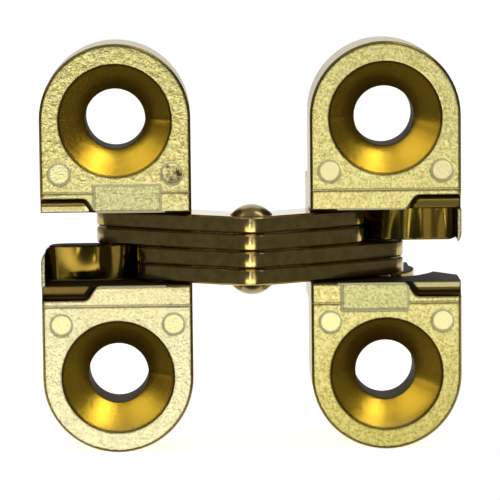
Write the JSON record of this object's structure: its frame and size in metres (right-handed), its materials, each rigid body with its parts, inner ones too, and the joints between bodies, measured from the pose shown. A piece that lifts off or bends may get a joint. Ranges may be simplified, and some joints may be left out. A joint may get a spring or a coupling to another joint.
{
  "type": "invisible hinge",
  "caption": "Small invisible barrel hinge: two round-ended mortise leaves with countersunk screw holes, joined by a riveted scissor of stacked links that folds into the leaves.",
  "frame": {"origin": "between the frame leaf's two screw holes, on the plane of the mortise shoulder that its screw ends bear on", "axes": "+Z along the hinge axis, +Y into the mortise, away from the faces, and +X from the frame leaf towards the door leaf, with the hinge open to 180 degrees"},
  "size_m": [0.0258, 0.0123, 0.0252],
  "materials": {
    "cast_brass_plate": "satin bright brass plate on a die casting",
    "link_brass_plate": "bright brass plate on stamped steel",
    "rivet_brass_plate": "bright brass plate on a domed steel rivet",
    "pin_steel": "plain drawn steel"
  },
  "bodies": {
    "frame_leaf": {"frame_leaf_casting": "cast_brass_plate", "frame_pivot_pin": "pin_steel"},
    "frame_links": {"frame_link_inner": "link_brass_plate", "frame_link_outer": "link_brass_plate", "center_rivet": "rivet_brass_plate", "door_slide_pin": "pin_steel"},
    "door_links": {"door_link_inner": "link_brass_plate", "door_link_outer": "link_brass_plate", "frame_slide_pin": "pin_steel"},
    "door_leaf": {"door_leaf_casting": "cast_brass_plate", "door_pivot_pin": "pin_steel"}
  },
  "joints": [
    {"name": "frame_pivot", "type": "hinge", "parent": "frame_leaf", "child": "frame_links", "pos_m": [0.0026, -0.00233, 0], "axis": [0, 0, -1], "range_deg": [0, 118]},
    {"name": "center_pivot", "type": "hinge", "parent": "frame_links", "child": "door_links", "pos_m": [0.00827, -0.0056, 0], "axis": [0, 0, -1], "range_deg": [-56, 0]},
    {"name": "door_pivot", "type": "hinge", "parent": "door_links", "child": "door_leaf", "pos_m": [0.01394, -0.00233, 0], "axis": [0, 0, -1], "range_deg": [0, 118]}
  ],
  "couplings": [
    {"joint": "frame_pivot", "follows": "door_pivot", "ratio": 1},
    {"joint": "center_pivot", "follows": "door_pivot", "ratio": -0.47458}
  ]
}
